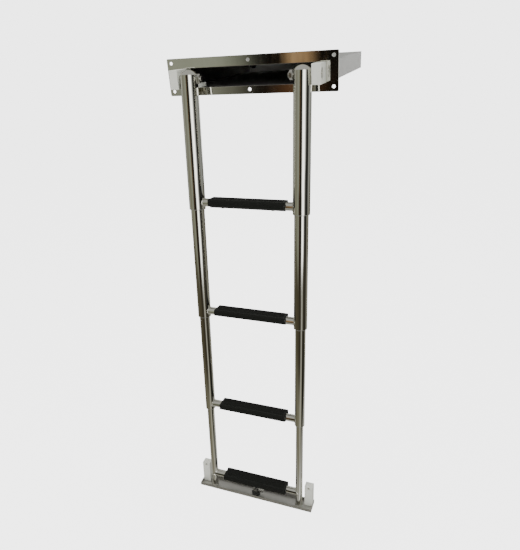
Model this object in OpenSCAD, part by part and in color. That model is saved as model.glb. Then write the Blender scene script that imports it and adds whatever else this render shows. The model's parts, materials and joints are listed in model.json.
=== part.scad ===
// Telescopic boat boarding ladder in a flush-mounted cassette.
// The origin is the middle of the flange's back face, the face that seats on the boat.
// +X is to the right of a person looking at the boat, +Y goes into the boat, +Z is up.
// The ladder hangs in front of the flange, drawn out to its full length.

/* [Ladder] */
// Distance between the centres of the two rails
rail_gap = 250; // [220:1:320]
// Distance from one rung to the next on the first three sections
rung_pitch = 274; // [220:1:340]
// Distance from the third rung to the fourth
last_pitch = 236; // [200:1:310]
// How far the hanging ladder leans out from the vertical, in degrees
hang_tilt = 7; // [3:0.5:10]

/* [Rails] */
// Outside diameter of the first rail tube
rail_1_d = 38; // [37:0.1:46]
// Outside diameter of the second rail tube
rail_2_d = 32; // [29.5:0.1:33]
// Outside diameter of the third rail tube
rail_3_d = 25.4; // [23:0.1:26.5]
// Outside diameter of the fourth rail tube
rail_4_d = 19; // [15:0.1:20]
// Wall of every rail tube
rail_wall = 1.5; // [1:0.1:1.8]
// Height of the guide bush pressed into the foot of a rail
bush_h = 15; // [12:1:24]
// Height of the slider ring on the head of a rail
slider_h = 11; // [10:1:20]
// Thickness of the lip of a guide bush under its rail
lip_t = 1; // [0.6:0.1:2]
// How far a rail runs on below its rung
rail_foot = 15; // [12:1:34]
// Gap between a rail's foot and the next rung when the ladder is shut
nest_gap = 5; // [0.5:0.1:10]

/* [Rungs and treads] */
// Outside diameter of a rung tube
rung_d = 19; // [16:0.1:20]
// Wall of a rung tube
rung_wall = 1.5; // [1:0.1:2.5]
// Length of a tread
tread_l = 180; // [120:1:196]
// Depth of a tread from front to back
tread_w = 37.6; // [30:0.2:46]
// Thickness of a tread above the rung
tread_cap = 1.6; // [1:0.1:4]
// Thickness of a tread below the rung
tread_sole = 1.2; // [0.8:0.1:3]
// Radius of a tread's upper edges
tread_r = 4; // [1:0.5:6]
// Distance between the two screws of a tread
tread_screw_gap = 120; // [60:1:150]

/* [Cassette] */
// Thickness of the cassette's sheet
sheet = 1.2; // [0.8:0.1:2]
// Gap between the ladder and the cassette's roof or floor
roof_gap = 0.8; // [0.5:0.1:3]
// How far the flange's rim stands in behind which the slide blocks catch
rim = 2.5; // [1:0.1:5]
// Thickness of the flange
flange_t = 2; // [1.5:0.1:4]
// Width of the flange beyond the cassette at each side
flange_side = 22.3; // [16:0.1:40]
// Height of the flange beyond the cassette, above and below
flange_edge = 17.5; // [13:0.1:30]
// Corner radius of the flange
flange_r = 3; // [0.5:0.5:8]
// How far the cassette sits below the flange's middle
box_low = 2; // [0:0.5:4]
// Diameter of the flange's six screw holes
hole_d = 7; // [4:0.1:8]
// Distance of the screw holes from the flange's ends
hole_side = 10; // [7:0.5:11]
// Distance of the screw holes from the flange's long edges
hole_edge = 9.5; // [7:0.5:9.5]

/* [Slide blocks] */
// Width of a slide block beside its rail
block_w = 19; // [17:0.5:26]
// Length of a slide block in front of the pivot
block_front = 13.5; // [12:0.5:20]
// Length of a slide block behind the pivot
block_back = 55; // [45:1:80]
// How far the pivot stands out from the flange
pivot_out = 31; // [26:0.5:45]
// Diameter of the pivot bolts
bolt_d = 10; // [8:0.5:12]
// Height of the rubber buffers at the back of the cassette
buffer_h = 4; // [2:0.5:10]

/* [Closing lid] */
// Distance from the fourth rung to the lid
lid_drop = 40; // [38:1:60]
// Thickness of the lid
lid_t = 1.5; // [1:0.1:2.5]
// Height of the lid's folded lips
lid_lip = 8; // [5:0.5:14]
// Gap between the lid and the flange's opening, all round
lid_gap = 0.6; // [0.4:0.1:2]
// Width of a lid guide
guide_w = 22; // [16:0.5:24]
// Depth of a lid guide
guide_depth = 18; // [12:0.5:24]
// Height of a lid guide
guide_h = 65; // [50:1:80]
// Diameter of the latch barrel
barrel_d = 16; // [12:0.5:20]
// Height of the latch barrel above the lid
barrel_h = 12; // [8:0.5:14]

/* [Hidden] */

$fn = 48;
eps = 1;

// clearances
run_gap = 0.05;
face_gap = 0.15;
slide_gap = 0.4;

// small hardware
washer_t = 1.2;
nut_washer_t = 1.5;
washer_d = 20;
nut_af = 17;
nut_h = 6;
bolt_head_h = 6.4;
bolt_tip = 3;
recess_d = 23;
recess_gap = 1.2;
sleeve_wall = 2;
sleeve_proud = 0.2;
top_gap = 3;
cap_rise = 11;
screw_d = 4.8;
screw_head_d = 9;
screw_head_h = 2;
screw_tip = 4;
buffer_d = 18;
buffer_taper = 2;
buffer_screw_d = 5;
buffer_screw_head = 8;

// sections
rail_d = [rail_1_d, rail_2_d, rail_3_d, rail_4_d];
section_overlap = bush_h + slider_h + face_gap;
nest_pitch = rail_foot + lip_t + nest_gap + rung_d/2;
sleeve_d = bolt_d + 2*run_gap + 2*sleeve_wall;
cap_foot = sleeve_d/2 + 0.5;
first_rung = rung_pitch - nest_pitch + section_overlap + sleeve_d/2 + top_gap - rail_foot;
rung_z = [-first_rung, -first_rung - rung_pitch, -first_rung - 2*rung_pitch,
    -first_rung - 2*rung_pitch - last_pitch];
lid_z = rung_z[3] - lid_drop;
foot_z = [rung_z[0] - rail_foot, rung_z[1] - rail_foot, rung_z[2] - rail_foot, lid_z];
head_z = [cap_foot, foot_z[0] + section_overlap, foot_z[1] + section_overlap, foot_z[2] + section_overlap];

// tread outline
tread_top = rung_d/2 + tread_cap;
tread_under = rung_d/2 + tread_sole;
tread_edge_low = rung_d/4;
tread_keel = rung_d/3;
keel_r = 2;

// cassette
opening_h = max(rail_1_d, tread_w) + 2*roof_gap;
block_in = rail_gap/2 + rail_1_d/2 + sleeve_proud + face_gap + washer_t;
block_out = block_in + block_w;
opening_w = 2*(block_out + slide_gap);
box_in_w = opening_w + 2*rim;
box_w = box_in_w + 2*sheet;
box_h = opening_h + 2*sheet;
flange_w = box_w + 2*flange_side;
flange_h = box_h + 2*flange_edge;
shut_length = -rung_z[0] + 3*nest_pitch + lid_drop;
box_d = shut_length - flange_t + block_back + buffer_h + top_gap;
pivot_y = -flange_t - pivot_out;
pivot_in = rail_gap/2 - rail_1_d/2 - sleeve_proud - face_gap;
block_h = opening_h - 2*slide_gap;
heel_in = rail_gap/2 - rail_1_d/3;
heel_front = rail_1_d/4;
heel_top = (rail_1_d/2 + face_gap)*sin(hang_tilt) + (cap_foot + 1)*cos(hang_tilt);

// lid and latch
lid_w = opening_w - 4*lid_gap;
lid_h = opening_h - 2*lid_gap;
guide_out = lid_w/2 - lid_t;
guide_back = lid_h/2 - lid_t;
guide_hole_d = 6.5;
guide_side_hole_z = 14;
guide_screw_l = 12;
barrel_rim_d = barrel_d + 8;
barrel_rim_t = 1.5;
ring_nut_af = barrel_d + 6;
ring_nut_h = 4;
spindle_d = 8;
knob_d = 20;
knob_t = 4;
grip_w = 4;
grip_h = 4;
latch_nut_af = spindle_d + 5;
latch_nut_h = 3;
cam_l = opening_h/2 + sheet + 2;
cam_w = 12;
cam_t = 2.5;
cam_z = barrel_h + face_gap;
knob_z = -lid_t - barrel_rim_t - face_gap;
latch_slot_w = cam_w + 4;
latch_slot_y = cam_z + cam_t/2 - flange_t;

// A hexagonal prism with the given width across its flats
module hexagon(af, h) {
    cylinder(d = af/cos(30), h = h, $fn = 6);
}

// A ring that stands on z = 0
module ring(outer, inner, h) {
    difference() {
        cylinder(d = outer, h = h);
        translate([0, 0, -eps]) cylinder(d = inner, h = h + 2*eps);
    }
}

// Puts its children at the pivot, on the hanging ladder's own axes
module on_ladder() {
    translate([0, pivot_y, -box_low]) rotate([-hang_tilt, 0, 0]) children();
}

// Puts its children on both rails of the ladder
module on_rails(z) {
    for (side = [-1, 1])
        on_ladder() translate([side*rail_gap/2, 0, z]) children();
}

// A cylinder along +X from x0 to x1
module rod_x(d, x0, x1, sides = 48) {
    translate([x0, 0, 0]) rotate([0, 90, 0]) cylinder(d = d, h = x1 - x0, $fn = sides);
}

// ---- cassette ----

// A rectangle with round corners, centred
module round_square(w, h, r) {
    square([w - 2*r, h], center = true);
    square([w, h - 2*r], center = true);
    for (x = [-1, 1], y = [-1, 1])
        translate([x*(w/2 - r), y*(h/2 - r)]) circle(r = r);
}

// Rounded plate with the ladder's opening and six screw holes
module flange() {
    hole_x = flange_w/2 - hole_side;
    hole_z = flange_h/2 - hole_edge;
    color("silver") rotate([90, 0, 0]) linear_extrude(flange_t) difference() {
        round_square(flange_w, flange_h, flange_r);
        translate([0, -box_low]) square([opening_w, opening_h], center = true);
        for (x = [-hole_x, 0, hole_x], z = [-hole_z, hole_z])
            translate([x, z]) circle(d = hole_d);
    }
}

// Floor and two sides of the cassette, folded from one sheet
module box_tray() {
    color("darkgray") translate([0, 0, -box_low]) difference() {
        translate([-box_w/2, 0, -box_h/2]) cube([box_w, box_d, box_h - sheet]);
        translate([-box_in_w/2, -eps, -opening_h/2]) cube([box_in_w, box_d + 2*eps, opening_h + eps]);
    }
}

// Roof of the cassette, with the slot that the latch turns up into
module box_cover() {
    color("darkgray") translate([0, 0, -box_low + opening_h/2]) difference() {
        translate([-box_w/2, 0, 0]) cube([box_w, box_d, sheet]);
        translate([-latch_slot_w/2, latch_slot_y - cam_t, -eps]) cube([latch_slot_w, 2*cam_t, sheet + 2*eps]);
    }
}

module rear_plate() {
    color("darkgray") difference() {
        translate([-box_w/2, box_d, -box_low - box_h/2]) cube([box_w, sheet, box_h]);
        at_buffers() translate([0, 0, -sheet - eps]) cylinder(d = buffer_screw_d, h = sheet + 2*eps);
    }
}

// Puts its children in front of the rear plate, behind each slide block, facing -Y
module at_buffers() {
    for (side = [-1, 1])
        translate([side*(block_in + block_out)/2, box_d, -box_low]) rotate([90, 0, 0]) children();
}

module rear_buffers() {
    color("black") at_buffers() difference() {
        cylinder(d1 = buffer_d, d2 = buffer_d - buffer_taper, h = buffer_h);
        translate([0, 0, -eps]) cylinder(d = buffer_screw_d, h = buffer_h/2 + eps);
    }
}

module buffer_screws() {
    color("silver") at_buffers() {
        translate([0, 0, -sheet - screw_head_h]) cylinder(d = buffer_screw_head, h = screw_head_h);
        translate([0, 0, -sheet]) cylinder(d = buffer_screw_d, h = sheet + buffer_h/2);
    }
}

// ---- carriage ----

// Moulded block that slides in the cassette and carries one pivot bolt
module slide_block(side) {
    color("gainsboro") translate([0, pivot_y, -box_low]) scale([side, 1, 1]) difference() {
        union() {
            translate([block_in, -block_front, -block_h/2])
                cube([block_w, block_front + block_back, block_h]);
            translate([block_out - eps, -pivot_y + face_gap, -block_h/2])
                cube([rim + eps, block_back + pivot_y - face_gap, block_h]);
            translate([heel_in, heel_front, -block_h/2])
                cube([block_in - heel_in + eps, block_back - heel_front, block_h/2 - heel_top]);
        }
        rod_x(bolt_d + 2*run_gap, block_in - eps, block_out + eps);
        rod_x(recess_d, block_out - bolt_head_h - recess_gap, block_out + rim + eps);
        rotate([-hang_tilt, 0, 0]) translate([rail_gap/2, 0, -block_h])
            cylinder(d = rail_1_d + 2*face_gap, h = 2*block_h);
    }
}

module slide_block_left() { slide_block(-1); }
module slide_block_right() { slide_block(1); }

// Puts its children on the pivot's axis, for the left and the right side
module at_pivots() {
    for (side = [-1, 1])
        translate([0, pivot_y, -box_low]) scale([side, 1, 1]) children();
}

module pivot_bolts() {
    head_x = block_out - bolt_head_h - recess_gap;
    color("silver") at_pivots() {
        rod_x(bolt_d, pivot_in - nut_washer_t - nut_h - bolt_tip, head_x);
        translate([head_x, 0, 0]) rotate([0, 90, 0]) hexagon(nut_af, bolt_head_h);
    }
}

module spacer_washers() {
    color("white") at_pivots() translate([block_in - washer_t, 0, 0])
        rotate([0, 90, 0]) ring(washer_d, bolt_d, washer_t);
}

module nut_washers() {
    color("silver") at_pivots() translate([pivot_in - nut_washer_t, 0, 0])
        rotate([0, 90, 0]) ring(washer_d, bolt_d, nut_washer_t);
}

module pivot_nuts() {
    color("silver") at_pivots() translate([pivot_in - nut_washer_t - nut_h, 0, 0]) rotate([0, 90, 0])
        difference() {
            hexagon(nut_af, nut_h);
            translate([0, 0, -eps]) cylinder(d = bolt_d, h = nut_h + 2*eps);
        }
}

// ---- telescoping sections ----

// One rail tube of section n, with its head at head_z and its foot at foot_z
module rail(n, side) {
    d = rail_d[n - 1];
    color("silver") on_ladder() translate([side*rail_gap/2, 0, 0]) difference() {
        translate([0, 0, foot_z[n - 1]]) ring(d, d - 2*rail_wall, head_z[n - 1] - foot_z[n - 1]);
        if (n == 1)
            rod_x(sleeve_d, -rail_1_d, rail_1_d);
    }
}

module rail_1_left() { rail(1, -1); }
module rail_1_right() { rail(1, 1); }
module rail_2_left() { rail(2, -1); }
module rail_2_right() { rail(2, 1); }
module rail_3_left() { rail(3, -1); }
module rail_3_right() { rail(3, 1); }
module rail_4_left() { rail(4, -1); }
module rail_4_right() { rail(4, 1); }

// Domed caps that close the heads of the first rails
module rail_caps() {
    r = rail_1_d/2;
    dome_r = (r*r + cap_rise*cap_rise)/(2*cap_rise);
    color("gray") on_rails(cap_foot) {
        intersection() {
            translate([0, 0, cap_rise - dome_r]) sphere(r = dome_r);
            cylinder(r = r, h = cap_rise + eps);
        }
    }
}

module pivot_sleeves() {
    half = rail_1_d/2 + sleeve_proud;
    color("silver") on_rails(0) translate([-half, 0, 0]) rotate([0, 90, 0])
        ring(sleeve_d, bolt_d + 2*run_gap, 2*half);
}

// Lipped bushes in the feet of section n, which guide the next rails
module guide_bushes(n) {
    outer = rail_d[n - 1];
    bore = rail_d[n] + 2*run_gap;
    color("dimgray") on_rails(foot_z[n - 1]) {
        ring(outer - 2*rail_wall, bore, bush_h);
        translate([0, 0, -lip_t]) ring(outer, bore, lip_t);
    }
}

module guide_bushes_1() { guide_bushes(1); }
module guide_bushes_2() { guide_bushes(2); }
module guide_bushes_3() { guide_bushes(3); }

// Rings on the heads of section n, which slide inside the rails above
module slider_rings(n) {
    above = rail_d[n - 2] - 2*rail_wall;
    color("dimgray") on_rails(head_z[n - 1] - slider_h)
        ring(above - 2*run_gap, rail_d[n - 1], slider_h);
}

module slider_rings_2() { slider_rings(2); }
module slider_rings_3() { slider_rings(3); }
module slider_rings_4() { slider_rings(4); }

// Puts its children at the two screws under tread n, facing down the ladder
module at_tread_screws(n) {
    on_ladder() for (side = [-1, 1])
        translate([side*tread_screw_gap/2, 0, rung_z[n - 1] - rung_d/2 - tread_sole]) children();
}

// Rung tube of section n, coped to its rails
module rung(n) {
    color("silver") difference() {
        on_ladder() translate([0, 0, rung_z[n - 1]]) difference() {
            rod_x(rung_d, -rail_gap/2, rail_gap/2);
            rod_x(rung_d - 2*rung_wall, -rail_gap/2 - eps, rail_gap/2 + eps);
            for (side = [-1, 1])
                translate([side*rail_gap/2, 0, -rung_d]) cylinder(d = rail_d[n - 1], h = 2*rung_d);
        }
        at_tread_screws(n) cylinder(d = screw_d, h = rung_d/2);
    }
}

module rung_1() { rung(1); }
module rung_2() { rung(2); }
module rung_3() { rung(3); }
module rung_4() { rung(4); }

// Points of an arc, from angle a to angle b
function arc(x, y, r, a, b, steps = 6) =
    [for (i = [0 : steps]) let (t = a + (b - a)*i/steps) [x + r*cos(t), y + r*sin(t)]];

// Section of a tread across the ladder, its flat top upwards
function tread_outline() =
    let (edge = tread_w/2 - tread_r)
    concat(arc(edge, tread_top - tread_r, tread_r, 0, 90),
        arc(-edge, tread_top - tread_r, tread_r, 90, 180),
        arc(-edge, tread_r - tread_edge_low, tread_r, 180, 235),
        arc(-tread_keel, keel_r - tread_under, keel_r, 235, 270, 3),
        arc(tread_keel, keel_r - tread_under, keel_r, 270, 305, 3),
        arc(edge, tread_r - tread_edge_low, tread_r, 305, 360));

// Moulded step that wraps the rung of section n
module tread(n) {
    color([0.12, 0.12, 0.12]) difference() {
        on_ladder() translate([-tread_l/2, 0, rung_z[n - 1]]) rotate([90, 0, 90])
            linear_extrude(tread_l) difference() {
                polygon(tread_outline());
                circle(d = rung_d);
            }
        at_tread_screws(n) {
            translate([0, 0, -eps]) cylinder(d = screw_d, h = tread_sole + screw_tip);
            translate([0, 0, -eps]) cylinder(d = screw_head_d, h = eps + screw_head_h/2);
        }
    }
}

module tread_1() { tread(1); }
module tread_2() { tread(2); }
module tread_3() { tread(3); }
module tread_4() { tread(4); }

// Two pan-head screws that hold tread n to its rung from below
module tread_screws(n) {
    color("silver") at_tread_screws(n) {
        translate([0, 0, -screw_head_h/2]) cylinder(d = screw_head_d, h = screw_head_h);
        cylinder(d = screw_d, h = screw_tip + tread_sole);
    }
}

module tread_screws_1() { tread_screws(1); }
module tread_screws_2() { tread_screws(2); }
module tread_screws_3() { tread_screws(3); }
module tread_screws_4() { tread_screws(4); }

// ---- closing lid and latch ----

// Shallow pan that closes the flange's opening when the ladder is stowed
module lid_plate() {
    color("darkgray") on_ladder() translate([0, 0, lid_z]) difference() {
        translate([-lid_w/2, -lid_h/2, -lid_t]) cube([lid_w, lid_h, lid_t + lid_lip]);
        translate([-lid_w/2 + lid_t, -lid_h/2 + lid_t, 0])
            cube([lid_w - 2*lid_t, lid_h - 2*lid_t, lid_lip + eps]);
        translate([0, 0, -lid_t - eps]) cylinder(d = barrel_d, h = lid_t + 2*eps);
        for (side = [-1, 1])
            lid_guide_at(side) guide_screw_holes(screw_d, -lid_t - eps, eps);
    }
}

// Puts its children at the foot of a lid guide, at the middle of its width and its depth
module lid_guide_at(side) {
    translate([side*(guide_out - guide_w/2), guide_back - guide_depth/2, 0]) children();
}

// Two upright cylinders on the lid guide's centre line, from z0 to z1
module guide_screw_holes(d, z0, z1) {
    for (x = [-guide_w/4, guide_w/4])
        translate([x, 0, z0]) cylinder(d = d, h = z1 - z0);
}

// Moulded post that leads the lid into the cassette
module lid_guide(side) {
    color("gainsboro") on_ladder() translate([0, 0, lid_z]) lid_guide_at(side) difference() {
        translate([-guide_w/2, -guide_depth/2, 0]) cube([guide_w, guide_depth, guide_h]);
        translate([0, -guide_depth, guide_h - guide_hole_d]) rotate([-90, 0, 0])
            cylinder(d = guide_hole_d, h = 2*guide_depth);
        translate([side*guide_w/2, 0, guide_side_hole_z]) rotate([0, -side*90, 0])
            translate([0, 0, -eps]) cylinder(d = screw_d, h = guide_w/4 + eps);
        guide_screw_holes(screw_d, -eps, guide_screw_l);
    }
}

module lid_guide_left() { lid_guide(-1); }
module lid_guide_right() { lid_guide(1); }

module lid_guide_screws() {
    color("silver") on_ladder() translate([0, 0, lid_z]) for (side = [-1, 1])
        lid_guide_at(side) {
            guide_screw_holes(screw_head_d, -lid_t - screw_head_h, -lid_t);
            guide_screw_holes(screw_d, -lid_t, guide_screw_l);
        }
}

// Threaded barrel that carries the latch spindle through the lid
module latch_barrel() {
    color("dimgray") on_ladder() translate([0, 0, lid_z]) difference() {
        union() {
            translate([0, 0, -lid_t]) cylinder(d = barrel_d, h = lid_t + barrel_h);
            translate([0, 0, -lid_t - barrel_rim_t]) cylinder(d = barrel_rim_d, h = barrel_rim_t);
        }
        translate([0, 0, knob_z - eps])
            cylinder(d = spindle_d + 2*run_gap, h = cam_z - knob_z + 2*eps);
    }
}

module latch_ring_nut() {
    color("dimgray") on_ladder() translate([0, 0, lid_z]) difference() {
        hexagon(ring_nut_af, ring_nut_h);
        translate([0, 0, -eps]) cylinder(d = barrel_d, h = ring_nut_h + 2*eps);
    }
}

// Grip outside the lid, in one piece with its spindle
module latch_knob() {
    color("dimgray") on_ladder() translate([0, 0, lid_z]) {
        translate([0, 0, knob_z - knob_t]) cylinder(d = knob_d, h = knob_t);
        translate([grip_w/2 - knob_d/2, -grip_w/2, knob_z - knob_t - grip_h])
            cube([knob_d - grip_w, grip_w, grip_h]);
        translate([0, 0, knob_z]) cylinder(d = spindle_d, h = cam_z + cam_t + latch_nut_h - knob_z);
    }
}

// Tongue that turns up into the slot in the cassette's roof
module latch_cam() {
    color("silver") on_ladder() translate([0, 0, lid_z + cam_z]) difference() {
        union() {
            cylinder(d = latch_slot_w, h = cam_t);
            translate([0, -cam_w/2, 0]) cube([cam_l, cam_w, cam_t]);
        }
        translate([0, 0, -eps]) cylinder(d = spindle_d, h = cam_t + 2*eps);
    }
}

module latch_nut() {
    color("silver") on_ladder() translate([0, 0, lid_z + cam_z + cam_t]) difference() {
        hexagon(latch_nut_af, latch_nut_h);
        translate([0, 0, -eps]) cylinder(d = spindle_d, h = latch_nut_h + 2*eps);
    }
}

flange();
box_tray();
box_cover();
rear_plate();
rear_buffers();
buffer_screws();
slide_block_left();
slide_block_right();
pivot_bolts();
spacer_washers();
nut_washers();
pivot_nuts();
rail_1_left();
rail_1_right();
rail_caps();
pivot_sleeves();
guide_bushes_1();
rung_1();
tread_1();
tread_screws_1();
rail_2_left();
rail_2_right();
slider_rings_2();
guide_bushes_2();
rung_2();
tread_2();
tread_screws_2();
rail_3_left();
rail_3_right();
slider_rings_3();
guide_bushes_3();
rung_3();
tread_3();
tread_screws_3();
rail_4_left();
rail_4_right();
slider_rings_4();
rung_4();
tread_4();
tread_screws_4();
lid_plate();
lid_guide_left();
lid_guide_right();
lid_guide_screws();
latch_barrel();
latch_ring_nut();
latch_knob();
latch_cam();
latch_nut();
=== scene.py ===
"""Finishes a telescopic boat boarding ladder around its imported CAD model.

Every finished piece takes its place and size from the CAD nodes, in metres, and rides on their bodies.
"""

import json
import math

import bmesh
import bpy
from bpy.props import (
    FloatProperty,
    FloatVectorProperty,
    IntProperty,
    PointerProperty,
    StringProperty,
)
from mathutils import Matrix, Vector

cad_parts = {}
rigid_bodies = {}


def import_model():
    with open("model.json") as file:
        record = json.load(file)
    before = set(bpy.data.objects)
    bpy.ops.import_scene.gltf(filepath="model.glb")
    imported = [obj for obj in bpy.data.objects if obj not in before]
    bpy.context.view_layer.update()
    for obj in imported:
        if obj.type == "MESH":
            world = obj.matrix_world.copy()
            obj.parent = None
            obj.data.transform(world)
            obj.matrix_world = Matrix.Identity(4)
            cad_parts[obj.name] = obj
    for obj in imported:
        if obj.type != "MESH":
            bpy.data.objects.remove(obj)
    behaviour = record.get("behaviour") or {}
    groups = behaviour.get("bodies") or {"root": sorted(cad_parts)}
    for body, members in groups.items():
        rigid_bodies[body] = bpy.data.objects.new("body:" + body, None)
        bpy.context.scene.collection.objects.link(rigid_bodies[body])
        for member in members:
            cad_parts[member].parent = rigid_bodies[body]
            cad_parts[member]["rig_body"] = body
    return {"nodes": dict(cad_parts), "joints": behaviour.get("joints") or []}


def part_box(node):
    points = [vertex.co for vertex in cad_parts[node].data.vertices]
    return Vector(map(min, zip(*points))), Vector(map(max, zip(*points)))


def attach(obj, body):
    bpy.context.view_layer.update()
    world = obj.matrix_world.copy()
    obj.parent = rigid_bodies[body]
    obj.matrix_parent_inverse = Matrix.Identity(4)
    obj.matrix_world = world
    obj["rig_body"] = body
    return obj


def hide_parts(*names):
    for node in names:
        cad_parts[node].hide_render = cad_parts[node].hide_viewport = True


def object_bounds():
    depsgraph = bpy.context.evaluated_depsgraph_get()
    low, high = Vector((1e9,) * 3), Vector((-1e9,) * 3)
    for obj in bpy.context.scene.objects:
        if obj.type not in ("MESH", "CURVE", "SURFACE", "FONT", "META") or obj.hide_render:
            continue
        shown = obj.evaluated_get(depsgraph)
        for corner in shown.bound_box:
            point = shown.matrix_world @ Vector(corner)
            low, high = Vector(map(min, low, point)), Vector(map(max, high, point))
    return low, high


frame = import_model()
CAD_BOX = [list(corner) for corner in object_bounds()]

bl_info = {
    "name": "Boat boarding ladder",
    "version": (1, 0, 0),
    "blender": (4, 5, 0),
    "location": "3D View > Sidebar > Ladder",
    "description": "Builds the finished surfaces of a telescopic boarding ladder and its studio",
    "category": "Object",
}

MM = 0.001
SECTIONS = (1, 2, 3, 4)
JOINTS = {joint["name"]: joint for joint in frame["joints"]}
PIVOT = Vector(JOINTS["ladder_swing"]["pos_m"])
UP = Vector(JOINTS["section_2_slide"]["axis"])
TILT = math.atan2(UP.y, UP.z)
LADDER = Matrix.Translation(PIVOT) @ Matrix.Rotation(-TILT, 4, "X")


# ---- places taken from the CAD model ----


def ladder_box(node):
    """Lowest and highest corner of a CAD node on the ladder's own leaning axes, from the pivot."""
    back = LADDER.inverted()
    points = [back @ vertex.co for vertex in frame["nodes"][node].data.vertices]
    low = Vector([min(point[i] for point in points) for i in range(3)])
    high = Vector([max(point[i] for point in points) for i in range(3)])
    return low, high


def rung_centre(section):
    low, high = ladder_box(f"rung_{section}")
    return (low + high) / 2


def rail_radius(section):
    low, high = ladder_box(f"rail_{section}_left")
    return (high.x - low.x) / 2


def rail_spacing():
    left = ladder_box("rail_1_left")
    right = ladder_box("rail_1_right")
    return (right[0].x + right[1].x - left[0].x - left[1].x) / 2


# ---- small tools ----


def linear(code):
    """An sRGB hex colour as linear RGBA."""
    parts = [int(code[i : i + 2], 16) / 255 for i in (1, 3, 5)]
    return [p / 12.92 if p <= 0.04045 else ((p + 0.055) / 1.055) ** 2.4 for p in parts] + [1.0]


def add_node(tree, kind, inputs=None, **settings):
    """Adds a node with its settings; an input takes a value, a socket or another node's first output."""
    made = tree.nodes.new(kind)
    for key, value in settings.items():
        setattr(made, key, value)
    for key, value in (inputs or {}).items():
        if isinstance(value, bpy.types.Node):
            value = value.outputs[0]
        if isinstance(value, bpy.types.NodeSocket):
            tree.links.new(value, made.inputs[key])
        else:
            made.inputs[key].default_value = value
    return made


def finish_piece(name, mesh, body, material, nodes=(), smooth_angle=35.0):
    """Puts a finished mesh in the scene with its material and its body, and hides the CAD nodes it stands
    for.
    """
    mesh.materials.clear()
    mesh.materials.append(material)
    mesh.polygons.foreach_set("material_index", [0] * len(mesh.polygons))
    if smooth_angle:
        mesh.polygons.foreach_set("use_smooth", [True] * len(mesh.polygons))
        mesh.set_sharp_from_angle(angle=math.radians(smooth_angle))
    piece = bpy.data.objects.new(name, mesh)
    bpy.context.scene.collection.objects.link(piece)
    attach(piece, body)
    if nodes:
        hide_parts(*nodes)
    return piece


def body_of_node(node):
    return frame["nodes"][node]["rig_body"]


def softened(node, radius, material, segments=2):
    """A copy of a CAD node whose sharp edges are broken to a small radius, in millimetres."""
    work = bmesh.new()
    work.from_mesh(frame["nodes"][node].data)
    bmesh.ops.remove_doubles(work, verts=work.verts, dist=0.002 * MM)
    bmesh.ops.dissolve_limit(
        work, angle_limit=math.radians(0.3), verts=work.verts, edges=work.edges
    )
    mesh = bpy.data.meshes.new(node + "_form")
    work.to_mesh(mesh)
    work.free()
    mesh.polygons.foreach_set("use_smooth", [True] * len(mesh.polygons))
    holder = bpy.data.objects.new(node + "_work", mesh)
    bpy.context.scene.collection.objects.link(holder)
    bevel = holder.modifiers.new("Edge", "BEVEL")
    bevel.width = radius * MM
    bevel.segments = segments
    bevel.limit_method = "ANGLE"
    bevel.angle_limit = math.radians(35)
    bevel.use_clamp_overlap = False
    flats = holder.modifiers.new("Flats", "WEIGHTED_NORMAL")
    flats.weight = 90
    bpy.context.view_layer.update()
    ready = bpy.data.meshes.new_from_object(holder.evaluated_get(bpy.context.evaluated_depsgraph_get()))
    bpy.data.objects.remove(holder)
    ready.name = node + "_form"
    return finish_piece(node + "_form", ready, body_of_node(node), material, [node], None)


def dress(node, material):
    """Gives a CAD node that keeps its own shape the finish of the real piece."""
    mesh = frame["nodes"][node].data
    mesh.materials.clear()
    mesh.materials.append(material)


def grown(name, points, tree, values):
    """Runs a geometry tree on a few points and returns the result as one plain mesh."""
    seed = bpy.data.meshes.new(name + "_points")
    seed.from_pydata(points, [], [])
    holder = bpy.data.objects.new(name + "_work", seed)
    bpy.context.scene.collection.objects.link(holder)
    modifier = holder.modifiers.new("Grow", "NODES")
    modifier.node_group = tree
    sockets = {item.name: item.identifier for item in tree.interface.items_tree if item.in_out == "INPUT"}
    for key, value in values.items():
        modifier[sockets[key]] = value
    bpy.context.view_layer.update()
    ready = bpy.data.meshes.new_from_object(holder.evaluated_get(bpy.context.evaluated_depsgraph_get()))
    holder.modifiers.remove(modifier)
    bpy.data.objects.remove(holder)
    if not ready.polygons:
        raise RuntimeError(f"{name} came out empty")
    ready.name = name
    return ready


def new_tree(name, inputs):
    """A geometry tree with one geometry input, named inputs of the given kinds, and one geometry output."""
    tree = bpy.data.node_groups.new(name, "GeometryNodeTree")
    tree.interface.new_socket("Geometry", in_out="INPUT", socket_type="NodeSocketGeometry")
    for label, kind in inputs:
        tree.interface.new_socket(label, in_out="INPUT", socket_type=kind)
    tree.interface.new_socket("Geometry", in_out="OUTPUT", socket_type="NodeSocketGeometry")
    return tree, add_node(tree, "NodeGroupInput").outputs


def close_tree(tree, geometry, material):
    """Ends a geometry tree in real faces with their material."""
    real = add_node(tree, "GeometryNodeRealizeInstances", {"Geometry": geometry})
    painted = add_node(
        tree, "GeometryNodeSetMaterial", {"Geometry": real.outputs[0], "Material": material}
    )
    add_node(tree, "NodeGroupOutput", {"Geometry": painted.outputs[0]})


# ---- finishes ----


def start_material(name):
    """An empty material, its tree and its object coordinates."""
    material = bpy.data.materials.new(name)
    material.use_nodes = True
    tree = material.node_tree
    tree.nodes.clear()
    return material, tree, add_node(tree, "ShaderNodeTexCoord").outputs["Object"]


def end_material(tree, inputs):
    """Ends a material in a principled shader with the given inputs."""
    shader = add_node(tree, "ShaderNodeBsdfPrincipled", inputs)
    add_node(tree, "ShaderNodeOutputMaterial", {"Surface": shader})


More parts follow.
